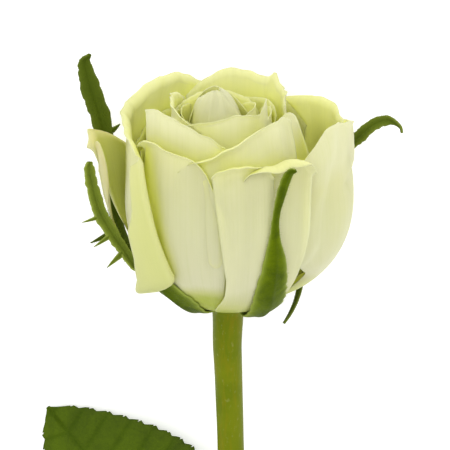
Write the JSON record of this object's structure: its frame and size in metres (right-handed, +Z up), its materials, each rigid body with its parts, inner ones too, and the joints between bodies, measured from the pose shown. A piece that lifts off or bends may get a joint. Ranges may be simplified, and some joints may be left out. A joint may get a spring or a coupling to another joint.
{
  "type": "cut rose",
  "caption": "Cut rose lying on its side: a full, partly open double bloom in pale green-cream, with long fringed sepals, a thorny green stem and compound leaves.",
  "frame": {"origin": "middle of the lying rose's bounding box, on the surface it lies on", "axes": "+Y along the stem towards the flower, +Z up from the surface, +X to the right seen from above with the flower at the top"},
  "size_m": [0.122, 0.2974, 0.058],
  "materials": {
    "petal": "matte",
    "guard_petal": "matte",
    "sepal": "satin",
    "stem": "satin",
    "leaf": "satin"
  },
  "bodies": {
    "root": {"lower_leaf_leaflet_left_far": "leaf", "lower_leaf_leaflet_left_near": "leaf", "lower_leaf_leaflet_right_far": "leaf", "lower_leaf_leaflet_right_near": "leaf", "lower_leaf_leaflet_tip": "leaf", "lower_leaf_stalk": "leaf", "petal_fifth_back": "petal", "petal_fifth_front_left": "petal", "petal_fifth_right": "petal", "petal_guard_left": "guard_petal", "petal_guard_left_front": "guard_petal", "petal_heart_1": "petal", "petal_heart_2": "petal", "petal_heart_3": "petal", "petal_heart_4": "petal", "petal_heart_5": "petal", "petal_heart_6": "petal", "petal_heart_7": "petal", "petal_heart_8": "petal", "petal_heart_9": "petal", "petal_inner_back": "petal", "petal_inner_front": "petal", "petal_inner_left": "petal", "petal_inner_right_back": "petal", "petal_middle_back": "petal", "petal_middle_back_right": "petal", "petal_middle_front": "petal", "petal_middle_front_left": "petal", "petal_middle_left": "petal", "petal_middle_right": "petal", "petal_outer_back": "petal", "petal_outer_front": "petal", "petal_outer_front_left": "petal", "petal_outer_front_right": "petal", "petal_outer_left": "petal", "petal_outer_right": "petal", "petal_outer_right_back": "petal", "sepal_back_left": "sepal", "sepal_back_right": "sepal", "sepal_front": "sepal", "sepal_front_left": "sepal", "sepal_right": "sepal", "stem": "stem", "upper_leaf_leaflet_left": "leaf", "upper_leaf_leaflet_right": "leaf", "upper_leaf_leaflet_tip": "leaf", "upper_leaf_stalk": "leaf"}
  },
  "joints": []
}
